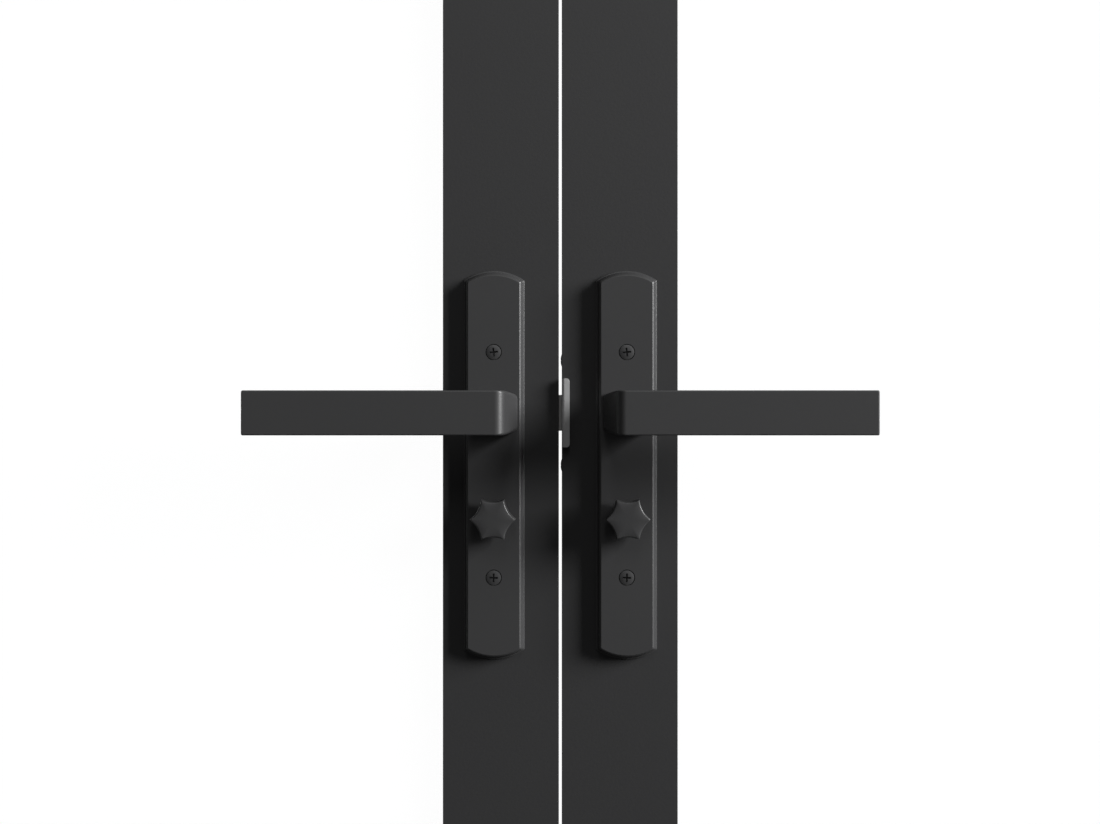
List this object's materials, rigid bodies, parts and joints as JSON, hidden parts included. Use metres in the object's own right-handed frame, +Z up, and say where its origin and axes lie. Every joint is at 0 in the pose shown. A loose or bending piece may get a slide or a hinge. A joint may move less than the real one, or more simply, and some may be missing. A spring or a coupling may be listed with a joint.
{
  "type": "french doors",
  "caption": "Pair of glazed aluminium french doors in their frame, with narrow stiles, long handle plates, flat lever handles and star-shaped turns, a latch, a deadbolt and shoot bolts.",
  "frame": {"origin": "on the floor, under the middle of the gap between the leaves and the middle of their thickness", "axes": "+X to the right as seen from the side that the leaves open to, +Y away from that side, +Z up"},
  "size_m": [1.5, 0.154, 2.1],
  "materials": {
    "powder_coat": "fine matt dark grey powder coat",
    "handle_coat": "smooth satin dark grey powder coat",
    "steel": "plain satin steel",
    "coated_steel": "satin grey coat",
    "zinc": "dull zinc plate",
    "aluminium": "bare mill finish",
    "rubber": "matt black",
    "nylon": "black nylon",
    "glass": "clear"
  },
  "bodies": {
    "root": {"frame_head": "powder_coat", "frame_sill": "powder_coat", "frame_jamb_left": "powder_coat", "frame_jamb_right": "powder_coat", "frame_seals": "rubber", "frame_hinge_leaves": "handle_coat", "hinge_pins": "handle_coat", "frame_screws": "steel", "shoot_bolt_keeps": "steel"},
    "left_leaf": {"left_hinge_stile": "powder_coat", "left_meeting_stile": "powder_coat", "left_top_rail": "powder_coat", "left_bottom_rail": "powder_coat", "left_corner_blocks": "aluminium", "left_end_caps": "nylon", "left_glass": "glass", "left_glazing_beads": "powder_coat", "left_glazing_rubbers": "rubber", "left_hinge_leaves": "handle_coat", "left_screws": "steel", "left_front_plate": "handle_coat", "left_back_plate": "handle_coat", "left_plate_bolts": "handle_coat", "left_lock_case": "zinc", "left_forend": "steel", "left_key_cylinder": "zinc", "left_return_spring": "steel"},
    "left_handle": {"left_front_lever": "handle_coat", "left_back_lever": "handle_coat", "left_spindle": "steel", "left_follower": "steel"},
    "left_turn": {"left_star_turn": "handle_coat", "left_turn_crank": "steel"},
    "left_latch": {"left_latch_bolt": "coated_steel"},
    "left_bolt": {"left_deadbolt": "steel"},
    "right_leaf": {"right_hinge_stile": "powder_coat", "right_meeting_stile": "powder_coat", "right_top_rail": "powder_coat", "right_bottom_rail": "powder_coat", "right_corner_blocks": "aluminium", "right_end_caps": "nylon", "right_glass": "glass", "right_glazing_beads": "powder_coat", "right_glazing_rubbers": "rubber", "right_hinge_leaves": "handle_coat", "right_screws": "steel", "right_front_plate": "handle_coat", "right_back_plate": "handle_coat", "right_plate_bolts": "handle_coat", "right_gear_case": "zinc", "right_strike_plate": "coated_steel"},
    "right_handle": {"right_front_lever": "handle_coat", "right_back_lever": "handle_coat", "right_spindle": "steel", "right_shoot_hub": "steel"},
    "right_turn": {"right_star_turn": "handle_coat", "right_turn_crank": "steel"},
    "right_upper_bolt": {"right_top_rod": "steel"},
    "right_lower_bolt": {"right_bottom_rod": "steel"},
    "right_lock": {"right_lock_slide": "steel"}
  },
  "joints": [
    {"name": "left_leaf_swing", "type": "hinge", "parent": "root", "child": "left_leaf", "pos_m": [-0.7035, -0.0255, 1.0395], "axis": [0, 0, -1], "range_deg": [0, 110]},
    {"name": "right_leaf_swing", "type": "hinge", "parent": "root", "child": "right_leaf", "pos_m": [0.7035, -0.0255, 1.0395], "axis": [0, 0, 1], "range_deg": [0, 110]},
    {"name": "left_lever_turn", "type": "hinge", "parent": "left_leaf", "child": "left_handle", "pos_m": [-0.0399, 0, 1], "axis": [0, -1, 0], "range_deg": [0, 40], "stiffness_Nm_per_rad": 1.2, "springref_deg": -68.75, "deforming": ["left_return_spring"]},
    {"name": "left_turn_rotate", "type": "hinge", "parent": "left_leaf", "child": "left_turn", "pos_m": [-0.0399, 0, 0.937], "axis": [0, 1, 0], "range_deg": [0, 90]},
    {"name": "left_latch_draw", "type": "slide", "parent": "left_leaf", "child": "left_latch", "axis": [-1, 0, 0], "range_m": [0, 0.011]},
    {"name": "left_deadbolt_throw", "type": "slide", "parent": "left_leaf", "child": "left_bolt", "axis": [1, 0, 0], "range_m": [0, 0.013]},
    {"name": "right_lever_turn", "type": "hinge", "parent": "right_leaf", "child": "right_handle", "pos_m": [0.0399, 0, 1], "axis": [0, 1, 0], "range_deg": [0, 90]},
    {"name": "right_turn_rotate", "type": "hinge", "parent": "right_leaf", "child": "right_turn", "pos_m": [0.0399, 0, 0.937], "axis": [0, 1, 0], "range_deg": [0, 90]},
    {"name": "right_upper_bolt_throw", "type": "slide", "parent": "right_leaf", "child": "right_upper_bolt", "axis": [0, 0, 1], "range_m": [0, 0.01556]},
    {"name": "right_lower_bolt_throw", "type": "slide", "parent": "right_leaf", "child": "right_lower_bolt", "axis": [0, 0, -1], "range_m": [0, 0.01556]},
    {"name": "right_lock_throw", "type": "slide", "parent": "right_leaf", "child": "right_lock", "axis": [1, 0, 0], "range_m": [0, 0.00919]}
  ],
  "couplings": [
    {"joint": "left_latch_draw", "follows": "left_lever_turn", "m_per_rad": 0.015756},
    {"joint": "left_turn_rotate", "follows": "left_deadbolt_throw", "rad_per_m": 120.83},
    {"joint": "right_upper_bolt_throw", "follows": "right_lever_turn", "m_per_rad": 0.009903},
    {"joint": "right_lower_bolt_throw", "follows": "right_lever_turn", "m_per_rad": 0.009903},
    {"joint": "right_turn_rotate", "follows": "right_lock_throw", "rad_per_m": 170.88}
  ]
}
